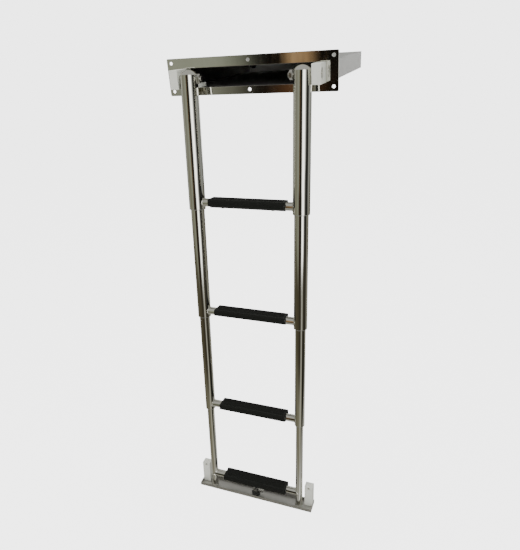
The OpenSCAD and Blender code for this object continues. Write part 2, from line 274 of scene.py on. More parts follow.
def noise_mm(tree, place, size, stretch=(1, 1, 1), detail=3.0, roughness=0.5):
    """Noise whose blotches are about size millimetres wide, stretched along the given axes."""
    scale = [1 / (size * MM * s) for s in stretch]
    scaled = add_node(tree, "ShaderNodeMapping", {"Vector": place, "Scale": scale})
    inputs = {"Vector": scaled, "Scale": 1.0, "Detail": detail, "Roughness": roughness}
    return add_node(tree, "ShaderNodeTexNoise", inputs).outputs["Fac"]


def drifting(tree, tone, colours, wear, low, high):
    """Shader inputs for a colour that drifts with one noise and a roughness that drifts with another."""
    # a noise rarely leaves the middle of its range
    levels = {"Value": wear, "From Min": 0.3, "From Max": 0.7, "To Min": low, "To Max": high}
    mix = {"Factor": tone, 6: colours[0], 7: colours[1]}
    return {
        "Base Color": add_node(tree, "ShaderNodeMix", mix, data_type="RGBA").outputs[2],
        "Roughness": add_node(tree, "ShaderNodeMapRange", levels).outputs["Result"],
    }


def polished_stainless(name, colours):
    # Mirror-polished stainless tube and plate: sharp reflections, a trace of haze and of buffing waviness.
    material, tree, place = start_material(name)
    haze = noise_mm(tree, place, 26)
    smear = noise_mm(tree, place, 9, (1, 1, 5))
    inputs = drifting(tree, haze, colours, smear, 0.035, 0.085)
    wave = noise_mm(tree, place, 14, (1, 1, 4), detail=1.0)
    buffing = add_node(tree, "ShaderNodeBump", {"Height": wave, "Strength": 1.0, "Distance": 0.006 * MM})
    # buffing lines are a few hundredths wide on the real tube and are drawn coarser, so that they show
    lines = noise_mm(tree, place, 0.5, (1, 1, 30), detail=2.0)
    relief = {"Height": lines, "Strength": 1.0, "Distance": 0.0006 * MM, "Normal": buffing}
    inputs["Normal"] = add_node(tree, "ShaderNodeBump", relief)
    end_material(tree, {"Metallic": 1.0, **inputs})
    return material


def brushed_stainless(name, colours, along, low, high):
    # Belt-brushed stainless sheet: grey and soft, with fine parallel scratches along the rolling direction.
    material, tree, place = start_material(name)
    stretch = [60 if axis == along else 1 for axis in "XYZ"]
    # the belt's scratches are about 0.1 mm wide and are drawn at 0.7 mm, so that they show
    scratches = noise_mm(tree, place, 0.7, stretch, detail=4.0, roughness=0.6)
    cloud = noise_mm(tree, place, 35)
    darkest = 0.15
    tone = add_node(tree, "ShaderNodeMath", {0: scratches, 1: cloud, 2: darkest}, operation="MULTIPLY_ADD")
    inputs = drifting(tree, tone, colours, scratches, low, high)
    relief = {"Height": scratches, "Strength": 0.6, "Distance": 0.01 * MM}
    inputs["Normal"] = add_node(tree, "ShaderNodeBump", relief)
    end_material(tree, {"Metallic": 1.0, **inputs})
    return material


def turned_stainless(name, colours):
    # Plain machined fasteners: brighter than the sheet, with a faint turned texture.
    material, tree, place = start_material(name)
    grain = noise_mm(tree, place, 0.6, detail=2.0)
    inputs = drifting(tree, grain, colours, noise_mm(tree, place, 3), 0.18, 0.34)
    relief = {"Height": grain, "Strength": 1.0, "Distance": 0.006 * MM}
    inputs["Normal"] = add_node(tree, "ShaderNodeBump", relief)
    end_material(tree, {"Metallic": 1.0, **inputs})
    return material


def moulded_plastic(name, colours, grain, depth, low, high, glow=0.0):
    # Moulded nylon: slightly mottled, with the fine spark-eroded grain of its mould.
    material, tree, place = start_material(name)
    inputs = drifting(tree, noise_mm(tree, place, 11), colours, noise_mm(tree, place, 4), low, high)
    spark_grain = noise_mm(tree, place, grain, detail=2.0)
    relief = {"Height": spark_grain, "Strength": 1.0, "Distance": depth * MM}
    inputs["Normal"] = add_node(tree, "ShaderNodeBump", relief)
    inputs["IOR"] = 1.53
    inputs["Subsurface Weight"] = glow
    inputs["Subsurface Radius"] = (1.0, 0.9, 0.75)
    inputs["Subsurface Scale"] = 1.5 * MM
    end_material(tree, inputs)
    return material


def grained_tread(name, colours):
    # Black moulded tread: leather-like pebble grain that grips, dulled by fine dust between its ribs.
    material, tree, place = start_material(name)
    pebble = {"Vector": place, "Scale": 1 / (1.1 * MM), "Smoothness": 0.4}
    pebbles = add_node(tree, "ShaderNodeTexVoronoi", pebble, feature="SMOOTH_F1").outputs["Distance"]
    dust = noise_mm(tree, place, 7, detail=4.0)
    inputs = drifting(tree, dust, colours, dust, 0.5, 0.72)
    coarse = add_node(tree, "ShaderNodeBump", {"Height": pebbles, "Strength": 0.7, "Distance": 0.12 * MM})
    fine = noise_mm(tree, place, 0.4, detail=1.0)
    relief = {"Height": fine, "Strength": 0.6, "Distance": 0.03 * MM, "Normal": coarse}
    inputs["Normal"] = add_node(tree, "ShaderNodeBump", relief)
    end_material(tree, {"IOR": 1.5, "Specular IOR Level": 0.2, **inputs})
    return material


def soft_rubber(name, colours):
    # Moulded rubber: matt black, slightly greyed by bloom.
    material, tree, place = start_material(name)
    bloom = noise_mm(tree, place, 5)
    inputs = drifting(tree, bloom, colours, bloom, 0.72, 0.88)
    relief = {"Height": noise_mm(tree, place, 0.8), "Strength": 1.0, "Distance": 0.03 * MM}
    inputs["Normal"] = add_node(tree, "ShaderNodeBump", relief)
    end_material(tree, {"IOR": 1.52, **inputs})
    return material


MAKERS = {
    "mirror_steel": lambda tones: polished_stainless("Mirror-polished stainless steel", tones),
    "satin_steel": lambda tones: brushed_stainless("Brushed stainless sheet", tones, "Y", 0.34, 0.5),
    "lid_steel": lambda tones: brushed_stainless("Brushed stainless lid", tones, "X", 0.32, 0.46),
    "fastener_steel": lambda tones: turned_stainless("Machined stainless steel", tones),
    "white_nylon": lambda tones: moulded_plastic(
        "Natural moulded nylon", tones, 0.7, 0.02, 0.38, 0.5, 0.08
    ),
    "grey_nylon": lambda tones: moulded_plastic("Grey moulded nylon", tones, 0.6, 0.015, 0.35, 0.48),
    "black_tread": lambda tones: grained_tread("Black grained tread plastic", tones),
    "black_nylon": lambda tones: moulded_plastic("Black moulded nylon", tones, 0.6, 0.015, 0.4, 0.5),
    "black_rubber": lambda tones: soft_rubber("Black moulded rubber", tones),
}
made_finishes = {}


def finish(slot):
    """The material of one of the record's slots, made once."""
    if slot not in made_finishes:
        settings = bpy.context.scene.ladder_finishes
        tones = [[*getattr(settings, f"{slot}_{which}"), 1.0] for which in ("first", "second")]
        made_finishes[slot] = MAKERS[slot](tones)
    return made_finishes[slot]


# ---- what a user can change ----


def tone(name, code):
    """One of the two colours between which a finish drifts."""
    return FloatVectorProperty(
        name=name,
        description="One of the two tones of this finish",
        default=linear(code)[:3],
        subtype="COLOR",
        min=0.0,
        max=1.0,
    )


class FinishSettings(bpy.types.PropertyGroup):
    """The two tones of each finish."""

    mirror_steel_first: tone("Mirror steel, first", "#dcdbd4")
    mirror_steel_second: tone("Mirror steel, second", "#d0cfc6")
    satin_steel_first: tone("Brushed sheet, first", "#a8a8a6")
    satin_steel_second: tone("Brushed sheet, second", "#bbbbb8")
    lid_steel_first: tone("Brushed lid, first", "#b7b6b2")
    lid_steel_second: tone("Brushed lid, second", "#c8c7c3")
    fastener_steel_first: tone("Fasteners, first", "#b4b3ad")
    fastener_steel_second: tone("Fasteners, second", "#c6c5bf")
    white_nylon_first: tone("White nylon, first", "#d9dad0")
    white_nylon_second: tone("White nylon, second", "#cccdc1")
    grey_nylon_first: tone("Grey nylon, first", "#6f706b")
    grey_nylon_second: tone("Grey nylon, second", "#62635e")
    black_tread_first: tone("Treads, first", "#0f100e")
    black_tread_second: tone("Treads, second", "#171815")
    black_nylon_first: tone("Black nylon, first", "#3a3b38")
    black_nylon_second: tone("Black nylon, second", "#31322f")
    black_rubber_first: tone("Rubber, first", "#232322")
    black_rubber_second: tone("Rubber, second", "#2e2e2d")


class TreadSettings(bpy.types.PropertyGroup):
    """Sizes of the moulded treads."""

    ribs: IntProperty(name="Ribs", description="Grooves along the top of a tread", default=8, min=0)
    groove_width: FloatProperty(
        name="Groove width", description="Width of a groove", default=1.7 * MM, subtype="DISTANCE"
    )
    groove_depth: FloatProperty(
        name="Groove depth", description="Depth of a groove", default=0.9 * MM, subtype="DISTANCE"
    )
    edge: FloatProperty(
        name="Edge", description="Radius of the long upper edges", default=4 * MM, subtype="DISTANCE"
    )
    end_round: FloatProperty(
        name="End rounding", description="Radius round a tread's ends", default=1 * MM, subtype="DISTANCE"
    )
    plain_end: FloatProperty(
        name="Plain end", description="Smooth margin at each end", default=5 * MM, subtype="DISTANCE"
    )


class MetalSettings(bpy.types.PropertyGroup):
    """Sizes of the metalwork's details."""

    sheet_edge: FloatProperty(
        name="Sheet edge", description="Radius on the edges of sheet, in millimetres", default=0.35
    )
    flange_edge: FloatProperty(
        name="Flange edge", description="Radius on the flange's edges, in millimetres", default=0.6
    )
    tube_edge: FloatProperty(
        name="Tube edge", description="Radius on the ends of tubes, in millimetres", default=0.3
    )
    bead: FloatProperty(
        name="Weld bead", description="Radius of a weld bead", default=1.3 * MM, subtype="DISTANCE"
    )
    ripples: IntProperty(name="Ripples", description="Ripples round a weld bead", default=26, min=3)
    spot_pitch: FloatProperty(
        name="Spot pitch", description="Distance between spot welds", default=38 * MM, subtype="DISTANCE"
    )
    spot_radius: FloatProperty(
        name="Spot radius", description="Radius of a spot weld", default=2.8 * MM, subtype="DISTANCE"
    )


class StudioSettings(bpy.types.PropertyGroup):
    """The camera, the floor and the lights."""

    place: FloatVectorProperty(
        name="Camera",
        description="Place of the camera",
        default=(0.3785, -1.0163, 0.0627),
        subtype="TRANSLATION",
    )
    yaw: FloatProperty(
        name="Yaw", description="Turn to the left", default=math.radians(20.73), subtype="ANGLE"
    )
    pitch: FloatProperty(
        name="Pitch", description="Look upwards", default=math.radians(-26.31), subtype="ANGLE"
    )
    roll: FloatProperty(
        name="Roll", description="Lean of the camera", default=math.radians(-3.9), subtype="ANGLE"
    )
    lens: FloatProperty(
        name="Lens", description="Focal length on a 36 mm sensor, in millimetres", default=32.75
    )
    floor_drop: FloatProperty(
        name="Floor drop", description="Floor below the ladder's foot", default=0.3, subtype="DISTANCE"
    )
    backdrop: FloatVectorProperty(
        name="Backdrop", description="Colour around the object", default=(1.0, 1.0, 1.0), subtype="COLOR"
    )
    ambient: FloatProperty(
        name="Ambient", description="Strength of the light from all sides", default=1.0, min=0.0
    )
    glow: FloatProperty(
        name="Glow", description="Brightness of the backdrop and the floor", default=3.8, min=0.0
    )
    light_box: FloatProperty(
        name="Light box", description="Brightness of the light boxes polished metal shows", default=4.0
    )
    ceiling: StringProperty(
        name="Ceiling", description="Colour reflected from above", default="#c2c2be"
    )


# ---- cassette ----


class LADDER_OT_cassette(bpy.types.Operator):
    """Flange, folded tray, roof and rear plate of the cassette"""

    bl_idname = "ladder.cassette"
    bl_label = "Cassette"

    def execute(self, context):
        metal = context.scene.ladder_metal
        softened("flange", metal.flange_edge, finish("mirror_steel"), 3)
        for node in ("box_tray", "box_cover", "rear_plate"):
            softened(node, metal.sheet_edge, finish("satin_steel"))
        return {"FINISHED"}


def spot_weld_tree():
    """Shallow domes on the points of the input mesh."""
    numbers = ("Radius", "Rise")
    tree, given = new_tree(
        "Spot welds",
        [(label, "NodeSocketFloat") for label in numbers] + [("Material", "NodeSocketMaterial")],
    )
    dome = add_node(
        tree, "GeometryNodeMeshUVSphere", {"Segments": 20, "Rings": 8, "Radius": given["Radius"]}
    )
    flatness = add_node(
        tree, "ShaderNodeMath", {0: given["Rise"], 1: given["Radius"]}, operation="DIVIDE"
    )
    shape = add_node(tree, "ShaderNodeCombineXYZ", {"X": 1.0, "Y": 1.0, "Z": flatness.outputs[0]})
    placed = add_node(
        tree,
        "GeometryNodeInstanceOnPoints",
        {"Points": given["Geometry"], "Instance": dome.outputs[0], "Scale": shape.outputs[0]},
    )
    close_tree(tree, placed.outputs[0], given["Material"])
    return tree


class LADDER_OT_spot_welds(bpy.types.Operator):
    """Two rows of spot welds that hold the cassette's roof to its sides"""

    bl_idname = "ladder.spot_welds"
    bl_label = "Spot welds"

    def execute(self, context):
        metal = context.scene.ladder_metal
        low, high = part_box("box_cover")
        count = int((high.y - low.y) / metal.spot_pitch)
        start = (high.y - low.y - (count - 1) * metal.spot_pitch) / 2
        inset = 1.5 * metal.spot_radius
        points = [
            (x, low.y + start + i * metal.spot_pitch, high.z)
            for x in (low.x + inset, high.x - inset)
            for i in range(count)
        ]
        values = {"Radius": metal.spot_radius, "Rise": 0.5 * MM, "Material": finish("satin_steel")}
        mesh = grown("spot_welds", points, spot_weld_tree(), values)
        finish_piece("spot_welds", mesh, "cassette", finish("satin_steel"))
        return {"FINISHED"}


class LADDER_OT_buffers(bpy.types.Operator):
    """Rubber buffers at the back of the cassette"""

    bl_idname = "ladder.buffers"
    bl_label = "Buffers"

    def execute(self, context):
        softened("rear_buffers", 0.6, finish("black_rubber"))
        return {"FINISHED"}


# ---- carriage ----


class LADDER_OT_slide_blocks(bpy.types.Operator):
    """Moulded blocks that slide in the cassette"""

    bl_idname = "ladder.slide_blocks"
    bl_label = "Slide blocks"

    def execute(self, context):
        for node in ("slide_block_left", "slide_block_right"):
            softened(node, 0.9, finish("white_nylon"), 3)
        softened("spacer_washers", 0.2, finish("white_nylon"))
        return {"FINISHED"}


class LADDER_OT_pivots(bpy.types.Operator):
    """Pivot bolts with their washers, nuts and sleeves"""

    bl_idname = "ladder.pivots"
    bl_label = "Pivots"

    def execute(self, context):
        for node in ("pivot_bolts", "pivot_nuts"):
            softened(node, 0.5, finish("fastener_steel"))
        softened("nut_washers", 0.25, finish("fastener_steel"))
        dress("pivot_sleeves", finish("fastener_steel"))
        return {"FINISHED"}


# ---- rails ----


class LADDER_OT_rails(bpy.types.Operator):
    """Telescoping rail tubes and the caps on the first pair"""

    bl_idname = "ladder.rails"
    bl_label = "Rails"

    def execute(self, context):
        metal = context.scene.ladder_metal
        for section in SECTIONS:
            for side in ("left", "right"):
                softened(
                    f"rail_{section}_{side}", metal.tube_edge, finish("mirror_steel")
                )
        softened("rail_caps", metal.tube_edge, finish("mirror_steel"))
        return {"FINISHED"}


class LADDER_OT_guides_in_rails(bpy.types.Operator):
    """Guide bushes in the rails' feet and slider rings on their heads"""

    bl_idname = "ladder.guides_in_rails"
    bl_label = "Bushes and sliders"

    def execute(self, context):
        for section in SECTIONS[:3]:
            softened(f"guide_bushes_{section}", 0.3, finish("grey_nylon"))
            dress(f"slider_rings_{section + 1}", finish("grey_nylon"))
        return {"FINISHED"}


# ---- rungs and treads ----


class LADDER_OT_rungs(bpy.types.Operator):
    """Rung tubes, coped to their rails"""

    bl_idname = "ladder.rungs"
    bl_label = "Rungs"

    def execute(self, context):
        for section in SECTIONS:
            softened(f"rung_{section}", 0.15, finish("mirror_steel"), 1)
        return {"FINISHED"}


def rippled_bead(tree, given, path, steps):
    """A bead with small ripples swept along a closed curve."""
    ripple_height = 0.07
    index = add_node(tree, "GeometryNodeInputIndex")
    turn = add_node(tree, "ShaderNodeMath", {0: index, 1: 2 * math.pi / steps}, operation="MULTIPLY")
    phase = add_node(tree, "ShaderNodeMath", {0: turn, 1: given["Ripples"]}, operation="MULTIPLY")
    wave = add_node(tree, "ShaderNodeMath", {0: phase}, operation="SINE")
    swell = add_node(tree, "ShaderNodeMath", {0: wave, 1: ripple_height, 2: 1.0}, operation="MULTIPLY_ADD")
    rippled = add_node(tree, "GeometryNodeSetCurveRadius", {"Curve": path, "Radius": swell})
    section = add_node(
        tree, "GeometryNodeCurvePrimitiveCircle", {"Resolution": 10, "Radius": given["Bead radius"]}
    )
    sweep = add_node(tree, "GeometryNodeCurveToMesh", {"Curve": rippled, "Profile Curve": section})
    if "Scale" in sweep.inputs:
        tree.links.new(add_node(tree, "GeometryNodeInputRadius").outputs[0], sweep.inputs["Scale"])
    return sweep.outputs[0]


def rung_bead_tree():
    """Two rippled beads where a rung meets its rails, placed on the leaning ladder."""
    numbers = ("Rung radius", "Rail radius", "Rail spacing", "Bead radius", "Ripples", "Tilt", "Depth in")
    tree, given = new_tree(
        "Rung beads",
        [(label, "NodeSocketFloat") for label in numbers]
        + [("Centre", "NodeSocketVector"), ("Material", "NodeSocketMaterial")],
    )
    steps = 208
    loop = add_node(
        tree, "GeometryNodeCurvePrimitiveCircle", {"Resolution": steps, "Radius": given["Rung radius"]}
    )
    position = add_node(tree, "GeometryNodeInputPosition")
    where = add_node(tree, "ShaderNodeSeparateXYZ", {"Vector": position})
    across = where.outputs["X"]
    rail = given["Rail radius"]
    rail_squared = add_node(tree, "ShaderNodeMath", {0: rail, 1: rail}, operation="MULTIPLY")
    across_squared = add_node(tree, "ShaderNodeMath", {0: across, 1: across}, operation="MULTIPLY")
    rest = add_node(tree, "ShaderNodeMath", {0: rail_squared, 1: across_squared}, operation="SUBTRACT")
    saddle = add_node(tree, "ShaderNodeMath", {0: rest}, operation="SQRT")
    half = add_node(tree, "ShaderNodeMath", {0: given["Rail spacing"], 1: 0.5}, operation="MULTIPLY")
    outward = add_node(tree, "ShaderNodeMath", {0: saddle, 1: given["Depth in"]}, operation="ADD")
    from_middle = add_node(tree, "ShaderNodeMath", {0: outward, 1: half}, operation="SUBTRACT")
    laid = add_node(tree, "ShaderNodeCombineXYZ", {"X": from_middle, "Y": across, "Z": where.outputs["Y"]})
    path = add_node(tree, "GeometryNodeSetPosition", {"Geometry": loop, "Position": laid})
    bead = rippled_bead(tree, given, path.outputs[0], steps)
    other = add_node(tree, "GeometryNodeTransform", {"Geometry": bead, "Rotation": (0, 0, math.pi)})
    pair = add_node(tree, "GeometryNodeJoinGeometry")
    tree.links.new(bead, pair.inputs[0])
    tree.links.new(other.outputs[0], pair.inputs[0])
    turned = add_node(tree, "ShaderNodeMath", {0: given["Tilt"], 1: -1.0}, operation="MULTIPLY")
    lean = add_node(tree, "ShaderNodeCombineXYZ", {"X": turned})
    placed = add_node(
        tree,
        "GeometryNodeTransform",
        {"Geometry": pair.outputs[0], "Translation": given["Centre"], "Rotation": lean.outputs[0]},
    )
    close_tree(tree, placed.outputs[0], given["Material"])
    return tree


def foot_bead_tree():
    """A rippled bead round each point of the input mesh, square to the leaning ladder."""
    numbers = ("Ring radius", "Bead radius", "Ripples", "Tilt")
    tree, given = new_tree(
        "Foot beads",
        [(label, "NodeSocketFloat") for label in numbers] + [("Material", "NodeSocketMaterial")],
    )
    steps = 208
    loop = add_node(
        tree, "GeometryNodeCurvePrimitiveCircle", {"Resolution": steps, "Radius": given["Ring radius"]}
    )
    bead = rippled_bead(tree, given, loop.outputs[0], steps)
    turned = add_node(tree, "ShaderNodeMath", {0: given["Tilt"], 1: -1.0}, operation="MULTIPLY")
    lean = add_node(tree, "ShaderNodeCombineXYZ", {"X": turned})
    placed = add_node(
        tree,
        "GeometryNodeInstanceOnPoints",
        {"Points": given["Geometry"], "Instance": bead, "Rotation": lean.outputs[0]},
    )
    close_tree(tree, placed.outputs[0], given["Material"])
    return tree


class LADDER_OT_weld_beads(bpy.types.Operator):
    """Weld beads round the ends of every rung"""

    bl_idname = "ladder.weld_beads"
    bl_label = "Weld beads"

    def execute(self, context):
        metal = context.scene.ladder_metal
        tree = rung_bead_tree()
        low, high = ladder_box("rung_1")
        for section in SECTIONS:
            values = {
                "Rung radius": (high.z - low.z) / 2,
                "Rail radius": rail_radius(section),
                "Rail spacing": rail_spacing(),
                "Bead radius": metal.bead,
                "Ripples": float(metal.ripples),
                "Tilt": TILT,
                "Depth in": 0.2 * MM,
                "Centre": LADDER @ Vector((0, 0, rung_centre(section).z)),
                "Material": finish("mirror_steel"),
            }
            name = f"weld_beads_{section}"
            mesh = grown(name, [(0, 0, 0)], tree, values)
            finish_piece(name, mesh, f"section_{section}", finish("mirror_steel"))
        return {"FINISHED"}


class LADDER_OT_foot_beads(bpy.types.Operator):
    """Weld beads where the last rails stand on the lid"""

    bl_idname = "ladder.foot_beads"
    bl_label = "Foot beads"

    def execute(self, context):
        metal = context.scene.ladder_metal
        foot = ladder_box("rail_4_left")[0].z
        half = rail_spacing() / 2
        values = {
            "Ring radius": rail_radius(4),
            "Bead radius": metal.bead,
            "Ripples": float(metal.ripples),
            "Tilt": TILT,
            "Material": finish("mirror_steel"),
        }
        points = [LADDER @ Vector((x, 0, foot)) for x in (-half, half)]
        mesh = grown("foot_beads", points, foot_bead_tree(), values)
        finish_piece("foot_beads", mesh, "section_4", finish("mirror_steel"))
        return {"FINISHED"}


def arc(centre, radius, start, stop, steps):
    """Points of an arc, angles in degrees, from start to stop."""
    points = []
    for i in range(steps + 1):
        angle = math.radians(start + (stop - start) * i / steps)
        points.append((centre[0] + radius * math.cos(angle), centre[1] + radius * math.sin(angle)))
    return points


def tread_outline(half, top, bottom, settings, groove):
    """Section of a tread across the ladder, with its grooves cut to the given depth."""
    edge = settings.edge
    ledge = -top * 0.43
    keel = half * 0.17
    keel_round = 2 * MM
    inner = half - edge
    points = arc((inner, top - edge), edge, 0, 90, 8)
    pitch = 2 * inner / (settings.ribs + 1)
    flank = 0.25 * settings.groove_width
    for i in range(settings.ribs):
        middle = inner - (i + 1) * pitch
        for offset, depth in ((0.5, 0), (0.5, 0.6), (0.25, 1), (-0.25, 1), (-0.5, 0.6), (-0.5, 0)):
            slope = flank if depth == 0 else 0
            y = middle + offset * settings.groove_width + math.copysign(slope, offset)
            points.append((y, top - depth * groove))
    points += arc((-inner, top - edge), edge, 90, 180, 8)
    points += arc((-inner, ledge + edge), edge, 180, 235, 6)
    points += arc((-keel, bottom + keel_round), keel_round, 235, 270, 3)
    points += arc((keel, bottom + keel_round), keel_round, 270, 305, 3)
    points += arc((inner, ledge + edge), edge, 305, 360, 6)
    return points


def drawn_in(points, inset):
    """The outline moved inwards by inset, along the bisector at each point."""
    if inset == 0:
        return list(points)
    moved = []
    total = len(points)
    for i, here in enumerate(points):
        before = Vector(here) - Vector(points[i - 1])
        after = Vector(points[(i + 1) % total]) - Vector(here)
        if before.length < 1e-7:
            before = after
        if after.length < 1e-7:
            after = before
        side = before.normalized() + after.normalized()
        side = side.normalized() if side.length > 1e-6 else after.normalized()
        moved.append((here[0] - side.y * inset, here[1] + side.x * inset))
    return moved


def tread_mesh(name, section, settings):
    """A ribbed tread with rounded ends and a bore for its rung, lofted along the rung."""
    low, high = ladder_box(f"tread_{section}")
    centre = rung_centre(section).z
    rung_low, rung_high = ladder_box(f"rung_{section}")
    bore = (rung_high.z - rung_low.z) / 2
    half = (high.y - low.y) / 2
    top = high.z - centre
    bottom = low.z - centre
    steps = 5
    rounding = settings.end_round
    stations = []
    for k in range(steps + 1):
        angle = math.radians(90 * k / steps)
        stations.append((rounding * (1 - math.cos(angle)), rounding * (1 - math.sin(angle)), 0.0))
    ramp = 1.5 * MM
    stations.append((settings.plain_end, 0.0, 0.0))
    stations.append((settings.plain_end + ramp, 0.0, 1.0))
    length = high.x - low.x
    rows = [(low.x + along, inset, cut) for along, inset, cut in stations]
    rows += [(low.x + length - along, inset, cut) for along, inset, cut in reversed(stations)]
    sides = 48
    work = bmesh.new()
    outers, inners = [], []
    for x, inset, cut in rows:
        outline = drawn_in(tread_outline(half, top, bottom, settings, cut * settings.groove_depth), inset)
        outers.append([work.verts.new(LADDER @ Vector((x, y, centre + z))) for y, z in outline])
        ring = arc((0, 0), bore, 0, 360 * (sides - 1) / sides, sides - 1)
        inners.append([work.verts.new(LADDER @ Vector((x, y, centre + z))) for y, z in ring])
    for loops in (outers, inners):
        count = len(loops[0])
        for first, second in zip(loops, loops[1:]):
            for i in range(count):
                j = (i + 1) % count
                work.faces.new((first[i], first[j], second[j], second[i]))
    for end in (0, -1):
        rim = []
        for loop in (outers[end], inners[end]):
            for i in range(len(loop)):
                rim.append(work.edges.get((loop[i - 1], loop[i])))
        bmesh.ops.triangle_fill(work, use_beauty=True, use_dissolve=False, edges=rim)
    bmesh.ops.remove_doubles(work, verts=work.verts, dist=0.001 * MM)
    bmesh.ops.recalc_face_normals(work, faces=work.faces)
    mesh = bpy.data.meshes.new(name)
    work.to_mesh(mesh)
    work.free()
    return mesh


class LADDER_OT_treads(bpy.types.Operator):
    """Ribbed black treads, one round each rung"""

    bl_idname = "ladder.treads"
    bl_label = "Treads"

    def execute(self, context):
        for section in SECTIONS:
            name = f"ribbed_tread_{section}"
            mesh = tread_mesh(name, section, context.scene.ladder_tread)
            finish_piece(
                name, mesh, f"section_{section}", finish("black_tread"), [f"tread_{section}"]
            )
        return {"FINISHED"}


def pan_head_tree():
    """Pan-head screws with a cross recess, on the points of the input mesh, their heads along -Z."""
    numbers = ("Head radius", "Head height", "Shank radius", "Shank length", "Recess width", "Tilt")
    tree, given = new_tree(
        "Pan-head screws",
        [(label, "NodeSocketFloat") for label in numbers] + [("Material", "NodeSocketMaterial")],
    )
    crown_share = 0.72
    slot_share = 0.28

    def moved(geometry, z):
        shift = add_node(tree, "ShaderNodeCombineXYZ", {"Z": z})
        return add_node(tree, "GeometryNodeTransform", {"Geometry": geometry, "Translation": shift})

    height = given["Head height"]
    below = add_node(tree, "ShaderNodeMath", {0: height, 1: -1.0}, operation="MULTIPLY")
    crown = add_node(
        tree, "ShaderNodeMath", {0: given["Head radius"], 1: crown_share}, operation="MULTIPLY"
    )
    head = add_node(
        tree,
        "GeometryNodeMeshCone",
        {"Vertices": 32, "Radius Top": given["Head radius"], "Radius Bottom": crown, "Depth": height},
    )
    cut = add_node(tree, "GeometryNodeMeshBoolean", {"Mesh 1": moved(head, below)}, operation="DIFFERENCE")
    for shares in ((1.0, slot_share), (slot_share, 1.0)):
        sides = {"Z": height}
        for axis, share in zip("XY", shares):
            side = {0: given["Recess width"], 1: share}
            sides[axis] = add_node(tree, "ShaderNodeMath", side, operation="MULTIPLY")
        size = add_node(tree, "ShaderNodeCombineXYZ", sides)
        block = add_node(tree, "GeometryNodeMeshCube", {"Size": size})
        tree.links.new(moved(block, below).outputs[0], cut.inputs[1])
    shank = add_node(
        tree,
        "GeometryNodeMeshCylinder",
        {"Vertices": 24, "Radius": given["Shank radius"], "Depth": given["Shank length"]},
    )
    middle = add_node(tree, "ShaderNodeMath", {0: given["Shank length"], 1: 0.5}, operation="MULTIPLY")
    screw = add_node(tree, "GeometryNodeJoinGeometry")
    for piece in (cut, moved(shank, middle)):
        tree.links.new(piece.outputs[0], screw.inputs[0])
    turned = add_node(tree, "ShaderNodeMath", {0: given["Tilt"], 1: -1.0}, operation="MULTIPLY")
    lean = add_node(tree, "ShaderNodeCombineXYZ", {"X": turned})
    placed = add_node(
        tree,
        "GeometryNodeInstanceOnPoints",
        {"Points": given["Geometry"], "Instance": screw.outputs[0], "Rotation": lean.outputs[0]},
    )
    close_tree(tree, placed.outputs[0], given["Material"])
    return tree


def screw_points(node, seat):
    """The middle of each separate screw of a CAD node, at the height where its head seats."""
    work = bmesh.new()
    work.from_mesh(frame["nodes"][node].data)
    bmesh.ops.remove_doubles(work, verts=work.verts, dist=0.002 * MM)
    back = LADDER.inverted()
    seen = set()
    points = []
    for start in work.verts:
        if start in seen:
            continue
        island, queue = [], [start]
        seen.add(start)
        while queue:
            vertex = queue.pop()
            island.append(back @ vertex.co)
            for edge in vertex.link_edges:
                other = edge.other_vert(vertex)
                if other not in seen:
                    seen.add(other)
                    queue.append(other)
        spans = [(min(p[i] for p in island) + max(p[i] for p in island)) / 2 for i in (0, 1)]
        points.append(LADDER @ Vector((spans[0], spans[1], min(p.z for p in island) + seat)))
    work.free()
    return points


class LADDER_OT_screws(bpy.types.Operator):
    """Pan-head screws under the treads and under the lid"""

    bl_idname = "ladder.screws"
    bl_label = "Screws"

    def execute(self, context):
        tree = pan_head_tree()
        values = {
            "Head radius": 4.5 * MM,
            "Head height": 2 * MM,
            "Shank radius": 2.4 * MM,
            "Recess width": 4.6 * MM,
            "Tilt": TILT,
            "Material": finish("fastener_steel"),
        }
        rows = [(f"tread_screws_{section}", f"section_{section}") for section in SECTIONS]
        rows.append(("lid_guide_screws", "section_4"))
        for node, body in rows:
            low, high = ladder_box(node)
            values["Shank length"] = high.z - low.z - values["Head height"]
            points = screw_points(node, values["Head height"])
            name = node.replace("screws", "pan_heads")
            mesh = grown(name, points, tree, values)
            finish_piece(name, mesh, body, finish("fastener_steel"), [node])
        dress("buffer_screws", finish("fastener_steel"))
        return {"FINISHED"}


# ---- lid and latch ----


class LADDER_OT_lid(bpy.types.Operator):
    """Closing lid with its two guide posts"""

    bl_idname = "ladder.lid"
    bl_label = "Lid"

    def execute(self, context):
        softened("lid_plate", 0.45, finish("lid_steel"), 3)
        for node in ("lid_guide_left", "lid_guide_right"):
            softened(node, 0.9, finish("white_nylon"), 3)
        return {"FINISHED"}


class LADDER_OT_latch(bpy.types.Operator):
    """Quarter-turn latch in the middle of the lid"""

    bl_idname = "ladder.latch"
    bl_label = "Latch"

    def execute(self, context):
        for node, radius in (("latch_barrel", 0.3), ("latch_ring_nut", 0.4), ("latch_knob", 0.5)):
            softened(node, radius, finish("black_nylon"))
        for node in ("latch_cam", "latch_nut"):
            softened(node, 0.3, finish("fastener_steel"))
        return {"FINISHED"}


# ---- studio ----

